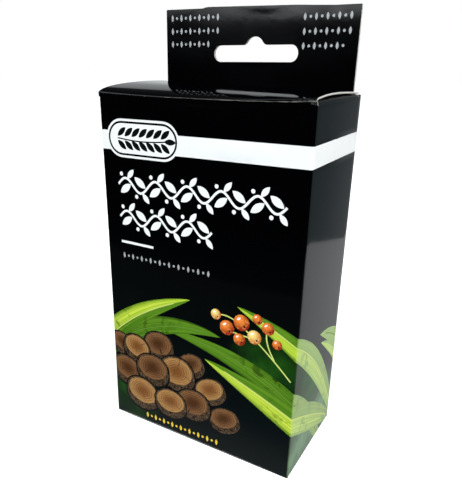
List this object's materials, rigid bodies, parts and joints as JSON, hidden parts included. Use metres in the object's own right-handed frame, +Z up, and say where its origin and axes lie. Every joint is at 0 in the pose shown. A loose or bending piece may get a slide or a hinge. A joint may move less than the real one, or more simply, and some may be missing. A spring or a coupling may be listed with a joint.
{
  "type": "hang-tab carton",
  "caption": "Tall folding carton of coated paperboard with a bowed, hinged tuck lid, dust flaps, a sealed bottom and a two-ply hang tab with a round-topped slot.",
  "frame": {"origin": "middle of the footprint, on the surface the carton stands on", "axes": "+Z up through the hang tab, -Y out of the front panel, +X to the viewer's right when facing the front"},
  "size_m": [0.075, 0.041, 0.1514],
  "materials": {
    "coated_board": "black print under a gloss coat",
    "inside_board": "uncoated white-grey board"
  },
  "bodies": {
    "carton": {"front_panel": "coated_board", "left_side_panel": "coated_board", "right_side_panel": "coated_board", "inner_back_panel": "coated_board", "outer_back_panel": "coated_board", "bottom_outer_flap": "coated_board", "bottom_inner_flap": "inside_board", "left_bottom_dust_flap": "inside_board", "right_bottom_dust_flap": "inside_board"},
    "lid": {"lid_panel": "coated_board"},
    "tuck": {"tuck_flap": "coated_board"},
    "left_dust": {"left_top_dust_flap": "coated_board"},
    "right_dust": {"right_top_dust_flap": "coated_board"}
  },
  "joints": [
    {"name": "lid_crease", "type": "hinge", "parent": "carton", "child": "lid", "pos_m": [0, -0.0205, 0.124], "axis": [1, 0, 0], "range_deg": [0, 180]},
    {"name": "tuck_crease", "type": "hinge", "parent": "lid", "child": "tuck", "pos_m": [0, 0.0189, 0.12385], "axis": [1, 0, 0], "range_deg": [0, 54]},
    {"name": "left_dust_crease", "type": "hinge", "parent": "carton", "child": "left_dust", "pos_m": [-0.0375, 0, 0.12375], "axis": [0, -1, 0], "range_deg": [0, 90]},
    {"name": "right_dust_crease", "type": "hinge", "parent": "carton", "child": "right_dust", "pos_m": [0.0375, 0, 0.12375], "axis": [0, 1, 0], "range_deg": [0, 90]}
  ],
  "couplings": [
    {"joint": "tuck_crease", "follows": "lid_crease", "ratio": 0.3},
    {"joint": "left_dust_crease", "follows": "lid_crease", "ratio": 0.5},
    {"joint": "right_dust_crease", "follows": "lid_crease", "ratio": 0.5}
  ]
}
